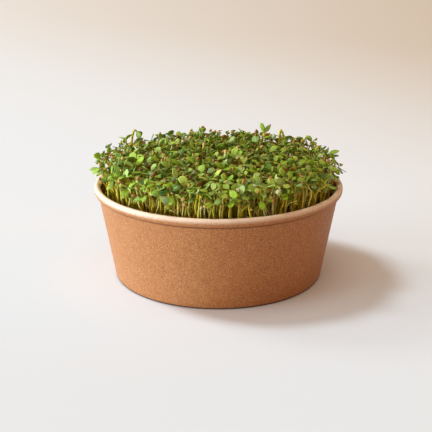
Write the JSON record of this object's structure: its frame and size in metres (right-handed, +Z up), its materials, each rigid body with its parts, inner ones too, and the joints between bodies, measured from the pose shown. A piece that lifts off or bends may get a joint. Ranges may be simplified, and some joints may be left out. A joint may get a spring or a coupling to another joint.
{
  "type": "microgreens bowl",
  "caption": "Dense microgreens growing in dark growing medium in a round kraft paper bowl with a rolled rim.",
  "frame": {"origin": "middle of the bowl's foot, on the surface that it stands on", "axes": "+Z up along the bowl's axis, -Y towards the viewer, +X to the viewer's right"},
  "size_m": [0.1542, 0.15, 0.0827],
  "materials": {
    "kraft_paper": "uncoated mottled kraft board",
    "growing_medium": "moist dark crumbs",
    "sprouts": "satin leaves on pale green stems"
  },
  "bodies": {
    "root": {"bowl_wall": "kraft_paper", "bowl_base": "kraft_paper", "growing_medium": "growing_medium", "sprout_tuft_01": "sprouts", "sprout_tuft_02": "sprouts", "sprout_tuft_03": "sprouts", "sprout_tuft_04": "sprouts", "sprout_tuft_05": "sprouts", "sprout_tuft_06": "sprouts", "sprout_tuft_07": "sprouts", "sprout_tuft_08": "sprouts", "sprout_tuft_09": "sprouts", "sprout_tuft_10": "sprouts", "sprout_tuft_11": "sprouts", "sprout_tuft_12": "sprouts", "sprout_tuft_13": "sprouts", "sprout_tuft_14": "sprouts", "sprout_tuft_15": "sprouts", "sprout_tuft_16": "sprouts", "sprout_tuft_17": "sprouts", "sprout_tuft_18": "sprouts", "sprout_tuft_19": "sprouts", "sprout_tuft_20": "sprouts", "sprout_tuft_21": "sprouts", "sprout_tuft_22": "sprouts", "sprout_tuft_23": "sprouts", "sprout_tuft_24": "sprouts", "sprout_tuft_25": "sprouts", "sprout_tuft_26": "sprouts", "sprout_tuft_27": "sprouts", "sprout_tuft_28": "sprouts", "sprout_tuft_29": "sprouts", "sprout_tuft_30": "sprouts", "sprout_tuft_31": "sprouts", "sprout_tuft_32": "sprouts", "sprout_tuft_33": "sprouts", "sprout_tuft_34": "sprouts", "sprout_tuft_35": "sprouts", "sprout_tuft_36": "sprouts", "sprout_tuft_37": "sprouts", "sprout_tuft_38": "sprouts", "sprout_tuft_39": "sprouts", "sprout_tuft_40": "sprouts", "sprout_tuft_41": "sprouts", "sprout_tuft_42": "sprouts", "sprout_tuft_43": "sprouts", "sprout_tuft_44": "sprouts"}
  },
  "joints": []
}
